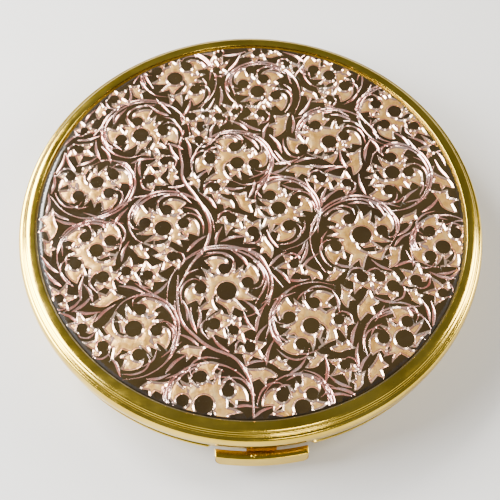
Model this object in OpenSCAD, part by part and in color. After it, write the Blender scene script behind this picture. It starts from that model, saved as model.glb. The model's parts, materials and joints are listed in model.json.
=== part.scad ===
// Round powder compact: hinged lid with a framed engraved panel and a mirror, a dished
// base with a powder well, a sifter, a puff, a self-opening inner lid and a push catch.
// Millimetres. The origin is the centre of the flat bottom. +Z is up, the catch is at -Y
// and the lid hinge is at +Y.

/* [Case] */
// Outside diameter of the closed case, across the lid's bead
case_d = 82; // [76:0.5:88]
// Height of the closed case
case_h = 12.5; // [12:0.1:14]
// Radius of the flat ring that the case rests on
foot_r = 34; // [30:0.5:35]
// Thickness of the pressed brass
sheet_t = 0.6; // [0.5:0.05:0.7]

/* [Lid] */
// Width of the polished frame around the panel, seen from above
frame_w = 3.2; // [2.8:0.1:3.6]
// Gap between the lid's lower edge and the base's upper edge
seam_gap = 0.1; // [0.05:0.05:0.2]
// Thickness of the mirror glass
glass_t = 1.4; // [1:0.1:1.6]

/* [Base] */
// Radius of the powder well, inside
well_r = 31.6; // [30:0.1:32]
// Height of the deck around the powder well
deck_z = 7.4; // [7.2:0.1:7.6]
// Thickness of the powder tray's sheet
tray_t = 0.4; // [0.3:0.05:0.5]
// Thickness of the powder puff's pad
puff_t = 3.2; // [2.5:0.1:3.4]

/* [Catch] */
// Width of the catch bar
catch_w = 15.2; // [12:0.2:18]
// Height of the catch bar
catch_h = 3.2; // [2.6:0.1:3.4]

/* [Hidden] */
$fn = 144;

eps = 0.01;             // overshoot of a cutting shape
case_r = case_d / 2;

// Lid
panel_opening_r = case_r - frame_w;     // the frame's inner edge
lid_wall_r = case_r - 1.4;              // inside of the lid's wall
lip_z = case_h - sheet_t;               // underside of the lip that holds the panel
bead_z = case_h - 3;                    // height of the lid's widest point
seam_z = bead_z - 1.15;                 // top edge of the base
lid_edge_z = seam_z + seam_gap;         // lower edge of the lid
panel_t = 0.5;
panel_top_z = case_h - 0.1;
panel_flange_z = lip_z - panel_t;       // underside of the panel's flange
card_t = 0.5;
card_z = panel_flange_z - card_t;
glass_r = 37;
glass_z = card_z - glass_t;
glass_play = 0.1;                       // gap around and under the glass
frame_low_z = glass_z - 0.4;            // underside of the mirror's frame
frame_outer_r = lid_wall_r - 0.05;
frame_step_r = case_r - 2.3;            // the frame drops inside the base's collar here

// Base
base_wall_r = case_r - 1.05;            // outside of the base's wall
base_seat_r = case_r - 1.55;            // inside of the base's wall, where the tray sits
dish_r = base_wall_r - foot_r;          // radius of the dished wall's curve
dish_z = dish_r;                        // height of its centre
base_bead_r = 0.6;
base_bead_z = 5.5;
collar_r = base_seat_r - 0.05;          // outside of the tray's collar
collar_t = 0.45;
collar_top_z = frame_low_z + 0.4;
well_outer_r = well_r + tray_t;
groove_w = 0.5;                         // turned grooves under the base
groove_depth = 0.12;

// Lid hinge
hinge_y = case_r + 0.1;
hinge_z = seam_z + 0.05;
barrel_r = 1.1;
hinge_pin_r = 0.5;
running_gap = 0.05;                     // radial clearance of a turning knuckle
knuckle_l = 3.3;
knuckle_pitch = 3.4;
knuckles = 5;
strap_w = 17.2;                         // width of a hinge leaf
strap_t = 0.45;
notch_w = strap_w + 0.4;                // gap in both beads, where the hinge lies
leaf_r = base_wall_r + 0.02;            // inner face of the hinge leaves
notch_top_z = bead_z + 1.7;             // top of the gap in the lid's bead

// Inner lid and its hinge
inner_lid_r = well_outer_r + 1;
inner_lid_t = 0.3;
inner_lid_top_z = deck_z + 1.05;
inner_skirt_t = 0.5;
inner_skirt_z = deck_z + 0.03;
inner_hinge_y = inner_lid_r + 1;
inner_hinge_z = deck_z + 0.8;
inner_barrel_r = 0.7;
inner_pin_r = 0.3;
inner_pin_l = 11.4;
inner_leaf_w = 12;
inner_leaf_y = 29.6;                    // front edge of the inner lid's leaf
inner_leaf_t = 0.3;
inner_plate_z = inner_lid_top_z - inner_lid_t;
inner_knuckle_x = 3;                    // middle of each turning knuckle
inner_knuckle_l = 2;
bracket_x = 4.85;                       // middle of each fixed knuckle
bracket_l = 1.5;
tab_w = 9;
tab_t = 0.25;

// Sifter and puff
sifter_r = well_r - 0.1;
sifter_z = 3.2;                         // underside of the sifter's flange
gauze_t = 0.1;
puff_r = 29.4;
puff_z = sifter_z + 0.15;
puff_top_z = puff_z + puff_t;
cover_r = 26;
cover_t = 0.3;
ribbon_l = 44;
ribbon_w = 10;
ribbon_t = 0.3;
sifter_flange_t = 0.4;
sifter_wall_t = 0.5;
sifter_skirt_h = 0.6;                   // how far the sifter's wall reaches below its flange
sifter_rim_h = 1.4;                     // and above it

// Catch
catch_z = 3.5;                          // underside of the catch bar
catch_inner_r = base_wall_r + 0.9;      // back of the bar, clear of the wall when pushed
catch_outer_r = case_r + 1.5;
tongue_w = 5;
tongue_z = catch_z + 0.7;
tongue_h = 1.2;
bar_corner_r = 1;
bar_top_r = case_r + 1.05;              // top edge of the bar's sloping face
tongue_outer_y = -(case_r + 0.6);
tongue_inner_y = -36.4;
hook_t = 0.5;
hook_top_z = 7.9;
hook_lip = 0.45;
slot_play = 0.25;                       // gap around the tongue in the base's wall
keeper_w = 4.8;
keeper_y = -38.45;
keeper_t = 0.5;
keeper_low_z = 6.6;
keeper_barb = 0.45;
rivet_x = -1.4;
rivet_y = -(case_r + 0.5);
rivet_r = 0.3;
rivet_head_r = 0.4;
rivet_head_h = 0.12;

// Points along an arc about [x, y], from angle a0 to a1
function arc(x, y, r, a0, a1, n = 12) =
    [for (i = [0:n]) let (a = a0 + (a1 - a0) * i / n) [x + r * cos(a), y + r * sin(a)]];

// Points along an ellipse's arc about [x, y], with half-axes rx and ry
function ellipse_arc(x, y, rx, ry, a0, a1, n = 12) =
    [for (i = [0:n]) let (a = a0 + (a1 - a0) * i / n) [x + rx * cos(a), y + ry * sin(a)]];

// Flat ring between two radii
module ring(r_out, r_in, h) {
    difference() {
        cylinder(r = r_out, h = h);
        translate([0, 0, -eps]) cylinder(r = r_in, h = h + 2 * eps);
    }
}

// The part of a ring at the +Y side that lies within a width
module ring_strap(r_in, t, w, z0, z1) {
    intersection() {
        translate([0, 0, z0]) ring(r_in + t, r_in, z1 - z0);
        translate([-w / 2, 0, z0 - 1]) cube([w, case_r + 5, z1 - z0 + 2]);
    }
}

// Tube along X about [y, z], between two places
module barrel(x0, x1, y, z, r, bore_r) {
    translate([x0, y, z]) rotate([0, 90, 0]) difference() {
        cylinder(r = r, h = x1 - x0);
        translate([0, 0, -eps]) cylinder(r = bore_r, h = x1 - x0 + 2 * eps);
    }
}

// Plate with round ends, seen from above, along Y
module round_plate(w, y0, y1, r, z, t) {
    translate([0, 0, z]) linear_extrude(t) union() {
        translate([-w / 2, y0 + r]) square([w, y1 - y0 - r]);
        translate([-w / 2 + r, y0]) square([w - 2 * r, r]);
        for (s = [-1, 1]) translate([s * (w / 2 - r), y0 + r]) circle(r = r);
    }
}

// ---- Lid ----

// Frame of the lid: a flat land, a rounded shoulder, a fine step, a groove and a bead
module lid_shell() {
    land_w = 0.65;
    shoulder_r = case_r - 1.4;
    groove_r = case_r - 0.85;
    color("gold") difference() {
        rotate_extrude() polygon(concat(
            [[lid_wall_r, lip_z], [panel_opening_r, lip_z]],
            arc(panel_opening_r + 0.12, case_h - 0.12, 0.12, 180, 90, 3),
            ellipse_arc(panel_opening_r + land_w, case_h - 0.55, shoulder_r - panel_opening_r - land_w,
                0.55, 90, 12, 8),
            ellipse_arc(shoulder_r + 0.02, case_h - 0.68, 0.24, 0.2, 75, -50, 5),
            arc(groove_r + 0.02, case_h - 1.02, 0.16, 175, 275, 5),
            ellipse_arc(case_r - 0.75, bead_z, 0.75, 1.82, 78, -32, 12),
            [[case_r - 0.3, lid_edge_z], [lid_wall_r, lid_edge_z]]
        ));
        // room for the hinge at the back
        difference() {
            translate([-notch_w / 2, 0, lid_edge_z - 1])
                cube([notch_w, case_r + 5, notch_top_z - lid_edge_z + 1]);
            cylinder(r = base_wall_r, h = case_h + 1);
        }
    }
}

// Pressed panel, slightly domed at its edge, with a flange under the lid's lip
module engraved_panel() {
    roll_r = 1.3;
    color("rosybrown") rotate_extrude() polygon(concat(
        [[0, panel_top_z], [panel_opening_r - 0.3 - roll_r, panel_top_z]],
        ellipse_arc(panel_opening_r - 0.3 - roll_r, lip_z, roll_r, panel_top_z - lip_z, 80, 0, 8),
        [
            [lid_wall_r - 0.1, lip_z], [lid_wall_r - 0.1, panel_flange_z],
            [panel_opening_r - 0.7, panel_flange_z],
            [panel_opening_r - 0.3 - roll_r, panel_top_z - panel_t], [0, panel_top_z - panel_t]
        ]
    ));
}

// Card that packs the mirror against the panel
module backing_card() {
    color("tan") translate([0, 0, card_z]) cylinder(r = lid_wall_r - 0.2, h = card_t);
}

// Mirror glass in the lid
module mirror() {
    color("lightblue") translate([0, 0, glass_z]) cylinder(r = glass_r, h = glass_t);
}

// Snap ring that holds the mirror
module mirror_frame() {
    color("gold") rotate_extrude() polygon([
        [glass_r + glass_play, card_z], [frame_outer_r, card_z],
        [frame_outer_r, collar_top_z + 0.3], [frame_step_r, collar_top_z + 0.3],
        [frame_step_r, frame_low_z], [glass_r - 0.7, frame_low_z],
        [glass_r - 1, frame_low_z + 0.1], [glass_r - 0.7, glass_z - 0.05],
        [glass_r + glass_play, glass_z - 0.05]
    ]);
}

// Small hooked plate under the mirror's frame, for the catch
module lid_keeper() {
    color("gold") translate([-keeper_w / 2, keeper_y, keeper_low_z]) {
        cube([keeper_w, keeper_t, frame_low_z - keeper_low_z]);
        cube([keeper_w, keeper_t + keeper_barb, 0.4]);
    }
}

// ---- Lid hinge ----

// One knuckle with the tab that joins it to its leaf on the case's wall
module knuckle(i, bore_r, tab_z0, tab_z1) {
    x0 = (i - (knuckles - 1) / 2) * knuckle_pitch - knuckle_l / 2;
    barrel(x0, x0 + knuckle_l, hinge_y, hinge_z, barrel_r, bore_r);
    difference() {
        translate([x0, hinge_y - 2.2, tab_z0]) cube([knuckle_l, 1.6, tab_z1 - tab_z0]);
        cylinder(r = leaf_r, h = case_h + 1);
        translate([x0 - eps, hinge_y, hinge_z]) rotate([0, 90, 0])
            cylinder(r = barrel_r - 0.2, h = knuckle_l + 2 * eps);
    }
}

module lid_hinge_leaf() {
    color("goldenrod") {
        ring_strap(leaf_r, strap_t, strap_w, hinge_z + barrel_r + 0.15, notch_top_z - 0.2);
        for (i = [1:2:knuckles - 1])
            knuckle(i, hinge_pin_r + running_gap, hinge_z, hinge_z + barrel_r + 0.4);
    }
}

module base_hinge_leaf() {
    color("goldenrod") {
        ring_strap(leaf_r, strap_t, strap_w, base_bead_z - 1, hinge_z - barrel_r - 0.15);
        for (i = [0:2:knuckles - 1])
            knuckle(i, hinge_pin_r, hinge_z - barrel_r - 0.4, hinge_z);
    }
}

module lid_hinge_pin() {
    pin_l = (knuckles - 1) * knuckle_pitch + knuckle_l + 0.3;
    color("silver") translate([-pin_l / 2, hinge_y, hinge_z]) rotate([0, 90, 0])
        cylinder(r = hinge_pin_r, h = pin_l);
}

// ---- Base ----

// Dished base with a bead, turned grooves underneath and a slot for the catch
module base_shell() {
    color("darkgoldenrod") difference() {
        rotate_extrude() union() {
            polygon(concat(
                [[0, 0]],
                arc(foot_r, dish_z, dish_r, -90, 0, 14),
                [[base_wall_r, seam_z], [base_seat_r, seam_z], [base_seat_r, deck_z - tray_t]],
                arc(foot_r, dish_z, dish_r - sheet_t, 0, -90, 12),
                [[0, sheet_t]]
            ));
            intersection() {
                translate([base_wall_r - 0.1, base_bead_z]) circle(r = base_bead_r);
                translate([base_seat_r + 0.2, base_bead_z - 1]) square([2, 2]);
            }
        }
        for (r = [12, 22, 31]) translate([0, 0, -eps]) ring(r + groove_w, r, groove_depth + eps);
        // the bead stops at the hinge and at the catch
        difference() {
            union() {
                translate([-notch_w / 2, 0, base_bead_z - 1]) cube([notch_w, case_r + 5, 3]);
                translate([-catch_w / 2 - 1, -case_r - 5, base_bead_z - 1])
                    cube([catch_w + 2, case_r + 5, 3]);
            }
            cylinder(r = base_wall_r, h = case_h);
        }
        translate([-tongue_w / 2 - slot_play, -case_r, tongue_z - slot_play])
            cube([tongue_w + 2 * slot_play, 5, tongue_h + 2 * slot_play]);
    }
}

// Pressed tray: collar, deck and powder well in one piece
module powder_tray() {
    slot_w = 6.4;
    slot_y = -35.6;
    color("gold") difference() {
        rotate_extrude() polygon([
            [0, sheet_t], [well_outer_r, sheet_t], [well_outer_r, deck_z - tray_t],
            [collar_r, deck_z - tray_t], [collar_r, collar_top_z],
            [collar_r - collar_t, collar_top_z], [collar_r - collar_t, deck_z],
            [well_r, deck_z], [well_r, sheet_t + tray_t], [0, sheet_t + tray_t]
        ]);
        // the catch and the keeper meet through this slot
        translate([-slot_w / 2, -(collar_r - collar_t), deck_z - tray_t - eps])
            cube([slot_w, collar_r - collar_t + slot_y, tray_t + 2 * eps]);
    }
}

// Ring that stretches the gauze and drops into the well
module sifter_ring() {
    wall_inner_r = sifter_r - sifter_wall_t;
    flange_inner_r = wall_inner_r - 1;
    color("gold") rotate_extrude() polygon([
        [sifter_r, sifter_z - sifter_skirt_h], [sifter_r, sifter_z + sifter_rim_h],
        [wall_inner_r, sifter_z + sifter_rim_h], [wall_inner_r, sifter_z + sifter_flange_t],
        [flange_inner_r, sifter_z + sifter_flange_t], [flange_inner_r, sifter_z],
        [wall_inner_r, sifter_z], [wall_inner_r, sifter_z - sifter_skirt_h]
    ]);
}

module sifter_gauze() {
    color("white") translate([0, 0, sifter_z - gauze_t])
        cylinder(r = sifter_r - sifter_wall_t - 0.1, h = gauze_t);
}

// Powder puff: a velour pad, a satin cover and a ribbon across it
module puff_pad() {
    color("antiquewhite") translate([0, 0, puff_z]) cylinder(r = puff_r, h = puff_t);
}

module puff_cover() {
    color("pink") translate([0, 0, puff_top_z]) cylinder(r = cover_r, h = cover_t);
}

module puff_ribbon() {
    color("hotpink") translate([-ribbon_l / 2, -ribbon_w / 2, puff_top_z + cover_t])
        cube([ribbon_l, ribbon_w, ribbon_t]);
}

// ---- Inner lid ----

// Powder door: a thin plate with a turned-down skirt, open at the back for its leaf
module inner_lid() {
    color("khaki") difference() {
        rotate_extrude() polygon([
            [0, inner_plate_z], [inner_lid_r - inner_skirt_t, inner_plate_z],
            [inner_lid_r - inner_skirt_t, inner_skirt_z], [inner_lid_r, inner_skirt_z],
            [inner_lid_r, inner_lid_top_z - 0.1], [inner_lid_r - 0.1, inner_lid_top_z],
            [0, inner_lid_top_z]
        ]);
        translate([-inner_leaf_w / 2 - 0.1, inner_lid_r - 2, inner_skirt_z - eps])
            cube([inner_leaf_w + 0.2, 3, inner_plate_z - inner_skirt_z + eps]);
    }
}

// Thumb tab on the inner lid's front
module inner_lid_tab() {
    color("gold") round_plate(tab_w, -inner_lid_r - 2.4, -inner_lid_r + 3, 2, inner_lid_top_z, tab_t);
}

// Leaf under the inner lid, with its two knuckles
module inner_lid_leaf() {
    leaf_z = inner_plate_z - inner_leaf_t;
    tab_y = inner_hinge_y - inner_barrel_r - 0.4;
    color("goldenrod") {
        difference() {
            translate([-inner_leaf_w / 2, inner_leaf_y, leaf_z])
                cube([inner_leaf_w, tab_y + 0.25 - inner_leaf_y, inner_leaf_t]);
            // clears the fixed knuckles
            for (s = [-1, 1])
                translate([s * (bracket_x + 0.15) - 1.2, tab_y - 0.2, leaf_z - eps])
                    cube([2.4, 2, inner_leaf_t + 2 * eps]);
        }
        for (s = [-1, 1]) {
            x0 = s * inner_knuckle_x - inner_knuckle_l / 2;
            barrel(x0, x0 + inner_knuckle_l, inner_hinge_y, inner_hinge_z, inner_barrel_r,
                inner_pin_r + running_gap);
            translate([x0, tab_y, leaf_z]) cube([inner_knuckle_l, 0.6, inner_leaf_t]);
        }
    }
}

// Two fixed knuckles, each on a foot on the deck
module inner_hinge_brackets() {
    color("goldenrod") for (s = [-1, 1]) {
        x0 = s * bracket_x - bracket_l / 2;
        barrel(x0, x0 + bracket_l, inner_hinge_y, inner_hinge_z, inner_barrel_r, inner_pin_r);
        difference() {
            translate([x0, inner_hinge_y - inner_barrel_r, deck_z])
                cube([bracket_l, 2 * inner_barrel_r, inner_hinge_z - deck_z]);
            translate([x0 - eps, inner_hinge_y, inner_hinge_z]) rotate([0, 90, 0])
                cylinder(r = inner_barrel_r - 0.1, h = bracket_l + 2 * eps);
        }
    }
}

module inner_hinge_pin() {
    color("silver") translate([-inner_pin_l / 2, inner_hinge_y, inner_hinge_z]) rotate([0, 90, 0])
        cylinder(r = inner_pin_r, h = inner_pin_l);
}

// Torsion spring on the inner hinge's pin, as close turns
module inner_lid_spring() {
    wire_r = 0.1;
    turns = 13;
    pitch = 0.26;
    color("silver") for (i = [0:turns - 1])
        translate([(i - (turns - 1) / 2) * pitch, inner_hinge_y, inner_hinge_z]) rotate([0, 90, 0])
            rotate_extrude() translate([0.46, 0]) circle(r = wire_r, $fn = 24);
}

// ---- Catch ----

// Curved bar in front of the case, with a sloping face and rounded ends
module catch_bar() {
    top_z = catch_z + catch_h;
    color("orange") difference() {
        intersection() {
            rotate_extrude() polygon(concat(
                [[catch_inner_r, catch_z], [catch_inner_r, top_z]],
                arc(bar_top_r - 0.25, top_z - 0.25, 0.25, 90, 15, 4),
                arc(catch_outer_r - 0.45, catch_z + 0.45, 0.45, 10, -90, 6)
            ));
            translate([0, -case_r + 5, catch_z]) rotate([90, 0, 0]) linear_extrude(10) union() {
                translate([-catch_w / 2, bar_corner_r]) square([catch_w, catch_h - bar_corner_r]);
                translate([-catch_w / 2 + bar_corner_r, 0])
                    square([catch_w - 2 * bar_corner_r, catch_h]);
                for (s = [-1, 1])
                    translate([s * (catch_w / 2 - bar_corner_r), bar_corner_r])
                        circle(r = bar_corner_r);
            }
        }
        translate([-tongue_w / 2, tongue_outer_y, tongue_z]) cube([tongue_w, 5, tongue_h]);
        translate([rivet_x, rivet_y, tongue_z]) cylinder(r = rivet_r, h = catch_h);
    }
}

// Tongue through the base's wall, turned up into a hook
module catch_hook() {
    color("goldenrod") translate([-tongue_w / 2, 0, 0]) {
        translate([0, tongue_outer_y, tongue_z])
            cube([tongue_w, tongue_inner_y - tongue_outer_y, tongue_h]);
        translate([0, tongue_inner_y - hook_t, tongue_z])
            cube([tongue_w, hook_t, hook_top_z - tongue_z]);
        translate([0, tongue_inner_y - hook_t - hook_lip, hook_top_z - 0.5])
            cube([tongue_w, hook_lip + hook_t, 0.5]);
    }
}

// Rivet from the bar's top into the tongue
module catch_rivet() {
    top_z = catch_z + catch_h;
    color("gold") translate([rivet_x, rivet_y, 0]) {
        translate([0, 0, tongue_z + tongue_h])
            cylinder(r = rivet_r, h = top_z - tongue_z - tongue_h);
        translate([0, 0, top_z]) cylinder(r = rivet_head_r, h = rivet_head_h);
    }
}

// Bowed leaf spring between the well and the hook
module catch_spring() {
    bow_r = 5.78;
    bow_t = 0.2;
    bow_y = tongue_inner_y + 0.1 + bow_r;
    color("silver") intersection() {
        translate([0, bow_y, tongue_z + 0.1]) ring(bow_r, bow_r - bow_t, tongue_h - 0.2);
        translate([-8, -case_r, 0]) cube([16, case_r - well_outer_r - 0.25, case_h]);
    }
}

lid_shell();
engraved_panel();
backing_card();
mirror();
mirror_frame();
lid_keeper();
lid_hinge_leaf();
base_hinge_leaf();
lid_hinge_pin();
base_shell();
powder_tray();
sifter_ring();
sifter_gauze();
puff_pad();
puff_cover();
puff_ribbon();
inner_lid();
inner_lid_tab();
inner_lid_leaf();
inner_hinge_brackets();
inner_hinge_pin();
inner_lid_spring();
catch_bar();
catch_hook();
catch_rivet();
catch_spring();
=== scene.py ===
import json
import math

import bpy
import numpy as np
from mathutils import Matrix, Vector
from mathutils.geometry import delaunay_2d_cdt

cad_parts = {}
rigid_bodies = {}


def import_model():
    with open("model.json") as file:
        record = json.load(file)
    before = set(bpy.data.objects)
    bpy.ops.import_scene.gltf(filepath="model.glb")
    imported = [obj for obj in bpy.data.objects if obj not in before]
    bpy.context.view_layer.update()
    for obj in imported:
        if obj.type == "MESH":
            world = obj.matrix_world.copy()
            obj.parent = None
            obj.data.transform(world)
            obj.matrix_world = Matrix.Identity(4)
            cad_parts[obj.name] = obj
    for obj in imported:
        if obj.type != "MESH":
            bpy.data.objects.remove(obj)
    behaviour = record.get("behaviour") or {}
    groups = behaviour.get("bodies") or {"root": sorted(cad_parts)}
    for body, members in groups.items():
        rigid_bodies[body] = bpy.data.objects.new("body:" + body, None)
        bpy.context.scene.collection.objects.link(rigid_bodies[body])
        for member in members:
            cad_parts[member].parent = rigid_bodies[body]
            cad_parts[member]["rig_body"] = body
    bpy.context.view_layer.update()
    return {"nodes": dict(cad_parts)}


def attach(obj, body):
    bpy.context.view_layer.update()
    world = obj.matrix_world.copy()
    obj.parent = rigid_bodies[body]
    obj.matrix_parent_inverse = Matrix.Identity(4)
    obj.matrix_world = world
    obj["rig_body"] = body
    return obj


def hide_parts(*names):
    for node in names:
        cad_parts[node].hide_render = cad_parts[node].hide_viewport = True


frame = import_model()
MM = 0.001
rng = np.random.default_rng(7)

# Sizes in mm, the same as the CAD's
CASE_R = 41.0
TOP = 12.5
OPENING_R = 37.8
LIP_Z = 11.9
WALL_R = 39.6
BEAD_Z = 9.5
LID_EDGE_Z = 8.45
SEAM_Z = 8.35
BASE_WALL_R = 39.95
SEAT_R = 39.45
FOOT_R = 34.0
SHEET_T = 0.6
DECK_Z = 7.4
WELL_R = 31.6
WELL_OUTER_R = 32.0
PANEL_TOP = 12.4
ROLL_START = 36.2
ROLL_END = 37.5
NOTCH_HALF = 8.8


# --- materials

class Paint:
    """A procedural material, built node by node. Lengths in its textures are in mm."""

    def __init__(self, name):
        self.mat = bpy.data.materials.new(name)
        self.mat.use_nodes = True
        self.tree = self.mat.node_tree
        self.tree.nodes.clear()
        out = self.tree.nodes.new("ShaderNodeOutputMaterial")
        self.bsdf = self.tree.nodes.new("ShaderNodeBsdfPrincipled")
        self.tree.links.new(self.bsdf.outputs[0], out.inputs[0])
        coord = self.tree.nodes.new("ShaderNodeTexCoord")
        self.mm = self.add("ShaderNodeVectorMath", {0: coord.outputs["Object"], "Scale": 1000.0},
                           operation="SCALE").outputs[0]

    def feed(self, socket, value):
        """Links an output to a socket, or sets the socket's value."""
        if isinstance(value, bpy.types.NodeSocket):
            self.tree.links.new(value, socket)
        elif isinstance(value, tuple) and len(socket.default_value) == 4:
            socket.default_value = (*value, 1)
        else:
            socket.default_value = value

    def add(self, kind, inputs=None, **settings):
        node = self.tree.nodes.new(kind)
        for key, value in settings.items():
            setattr(node, key, value)
        for key, value in (inputs or {}).items():
            self.feed(node.inputs[key], value)
        return node

    def stretched(self, scale, turn=0.0):
        inputs = {0: self.mm, "Scale": scale, "Rotation": (0, 0, turn)}
        return self.add("ShaderNodeMapping", inputs).outputs[0]

    def noise(self, scale, detail=4.0, rough=0.55, vector=None, distort=0.0):
        inputs = {"Vector": vector or self.mm, "Scale": scale, "Detail": detail, "Roughness": rough,
                  "Distortion": distort}
        return self.add("ShaderNodeTexNoise", inputs).outputs[0]

    def cells(self, scale):
        return self.add("ShaderNodeTexVoronoi", {"Vector": self.mm, "Scale": scale}).outputs[0]

    def turned(self, pitch):
        """Concentric turning marks about the piece's own axis."""
        split = self.add("ShaderNodeSeparateXYZ", {0: self.mm})
        flat = self.add("ShaderNodeCombineXYZ", {0: split.outputs[0], 1: split.outputs[1]}).outputs[0]
        r = self.add("ShaderNodeVectorMath", {0: flat}, operation="LENGTH").outputs["Value"]
        shifted = self.plus(self.plus(r, split.outputs[2]), self.times(self.noise(0.15), 0.3))
        return self.math("SINE", self.times(shifted, 2 * math.pi / pitch))

    def math(self, operation, a, b=0.0):
        return self.add("ShaderNodeMath", {0: a, 1: b}, operation=operation).outputs[0]

    def plus(self, a, b):
        return self.math("ADD", a, b)

    def times(self, a, b):
        return self.math("MULTIPLY", a, b)

    def span(self, value, low, high, to_low=0.0, to_high=1.0):
        inputs = {"Value": value, "From Min": low, "From Max": high, "To Min": to_low, "To Max": to_high}
        return self.add("ShaderNodeMapRange", inputs).outputs[0]

    def ramp(self, value, *stops):
        node = self.add("ShaderNodeValToRGB", {0: value})
        while len(node.color_ramp.elements) < len(stops):
            node.color_ramp.elements.new(0.5)
        for element, (at, colour) in zip(node.color_ramp.elements, stops):
            element.position = at
            element.color = (*colour, 1)
        return node.outputs[0]

    def mix(self, factor, a, b):
        return self.add("ShaderNodeMix", {0: factor, 6: a, 7: b}, data_type="RGBA").outputs[2]

    def bump(self, height, strength, distance, before=None):
        inputs = {"Height": height, "Strength": strength, "Distance": distance * MM}
        if before is not None:
            inputs["Normal"] = before
        return self.add("ShaderNodeBump", inputs).outputs[0]

    def set(self, **values):
        names = {"colour": "Base Color", "metal": "Metallic", "rough": "Roughness", "normal": "Normal",
                 "coat": "Coat Weight", "coat_rough": "Coat Roughness", "sheen": "Sheen Weight",
                 "sheen_rough": "Sheen Roughness", "specular": "Specular IOR Level"}
        for key, value in values.items():
            self.feed(self.bsdf.inputs[names[key]], value)
        return self.mat


def gilt(name, light, deep, low=0.1, high=0.24, pitch=0.09, marks=0.06):
    """Polished gilt brass: turning marks, fine scratches, small pits and a slow change of tone."""
    p = Paint(name)
    tone = p.mix(p.span(p.noise(0.09, 5), 0.35, 0.65), light, deep)
    pits = p.span(p.cells(1.1), 0.05, 0.11, 1.0, 0.0)
    pits = p.times(pits, p.span(p.noise(0.3, 2), 0.52, 0.62))
    colour = p.mix(p.times(pits, 0.55), tone, tuple(c * 0.35 for c in deep))
    scratch = p.noise(1.0, 3, vector=p.stretched((0.5, 14, 3), 0.5))
    fine = p.noise(1.0, 3, vector=p.stretched((11, 0.4, 3), -0.35))
    rough = p.span(p.plus(p.noise(0.35, 6), p.times(scratch, 0.5)), 0.5, 1.05, low, high)
    normal = p.bump(p.turned(pitch), marks, 0.004)
    normal = p.bump(p.plus(scratch, fine), 0.10, 0.006, normal)
    normal = p.bump(p.noise(0.22, 2), 0.12, 0.12, normal)
    return p.set(colour=colour, metal=1.0, rough=rough, normal=normal)


def lacquer():
    p = Paint("brown_lacquer")
    tone = p.mix(p.span(p.noise(0.06, 4), 0.3, 0.7), (0.013, 0.007, 0.002), (0.024, 0.015, 0.004))
    dust = p.times(p.span(p.cells(1.6), 0.03, 0.07, 1.0, 0.0), p.span(p.noise(0.4, 2), 0.55, 0.6))
    colour = p.mix(p.times(dust, 0.5), tone, (0.30, 0.26, 0.20))
    hair = p.noise(1.0, 4, vector=p.stretched((0.6, 9, 1), 0.9))
    rough = p.span(p.plus(hair, p.noise(0.5, 5)), 0.8, 1.25, 0.10, 0.26)
    normal = p.bump(p.noise(0.16, 3), 0.25, 0.08)
    normal = p.bump(hair, 0.05, 0.004, normal)
    return p.set(colour=colour, rough=rough, normal=normal, coat=0.25, coat_rough=0.08, specular=0.4)


def painted_shade_edge():
    """Lacquer painted darker as shade where the panel turns down under its frame, with a duller finish there.
    """
    p = Paint("lacquer_edge_painted_shade")
    patches = p.noise(0.5, 4)
    # painted shade: these two near-black tones stand in for the shade under the frame
    colour = p.mix(p.span(patches, 0.35, 0.65), (0.006, 0.004, 0.002), (0.016, 0.010, 0.005))
    return p.set(colour=colour, rough=p.span(patches, 0.3, 0.7, 0.45, 0.62), specular=0.12,
                 normal=p.bump(p.noise(2.5, 4), 0.3, 0.03))


def leaf_floor():
    """The satin floor of a cut leaf, scratched along the strokes of the tool."""
    p = Paint("leaf_floor")
    tone = p.ramp(p.noise(0.5, 5, 0.6), (0.28, (0.56, 0.26, 0.05)), (0.5, (0.88, 0.48, 0.12)),
                  (0.72, (1.0, 0.70, 0.31)))
    worn = p.span(p.noise(2.3, 3, 0.7), 0.62, 0.72)
    colour = p.mix(p.times(worn, 0.4), tone, (0.97, 0.86, 0.68))
    grain = p.noise(1.0, 4, 0.65, vector=p.stretched((1.2, 13, 1), 0.75))
    cross = p.noise(1.0, 3, 0.6, vector=p.stretched((9, 1.0, 1), 0.4))
    rough = p.span(p.plus(grain, cross), 0.7, 1.3, 0.26, 0.46)
    normal = p.bump(p.plus(grain, cross), 0.5, 0.03)
    normal = p.bump(p.noise(1.3, 3), 0.5, 0.08, normal)
    return p.set(colour=colour, metal=0.85, rough=rough, normal=normal)


def cut_edge(name, *tints):
    """The bright sloping side of a cut, a little pink where it is thin."""
    p = Paint(name)
    tone = p.ramp(p.noise(0.45, 4, 0.6), *tints)
    chatter = p.noise(1.0, 3, vector=p.stretched((7, 7, 1)))
    rough = p.span(chatter, 0.3, 0.7, 0.10, 0.26)
    normal = p.bump(chatter, 0.35, 0.03)
    return p.set(colour=tone, metal=0.9, rough=rough, normal=normal)


def plain(name, tone, light, deep, grain, rough, fine, bump, **more):
    """A simple surface: two tones, an uneven roughness and a fine bump, each with its own noise."""
    p = Paint(name)
    return p.set(colour=p.mix(p.noise(*tone), light, deep), rough=p.span(p.noise(*grain), 0.3, 0.7, *rough),
                 normal=p.bump(p.noise(*fine), *bump), **more)


def silvered_glass():
    p = Paint("mirror_glass")
    smear = p.noise(0.12, 5, 0.6, vector=p.stretched((1, 3, 1), 0.6))
    spots = p.times(p.span(p.cells(0.35), 0.02, 0.05, 1.0, 0.0), 0.5)
    colour = p.mix(spots, (0.86, 0.88, 0.88), (0.25, 0.22, 0.18))
    return p.set(colour=colour, metal=1.0, rough=p.span(smear, 0.45, 0.75, 0.01, 0.09), coat=1.0,
                 coat_rough=0.01, normal=p.bump(p.noise(0.1, 2), 0.02, 0.05))


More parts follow.
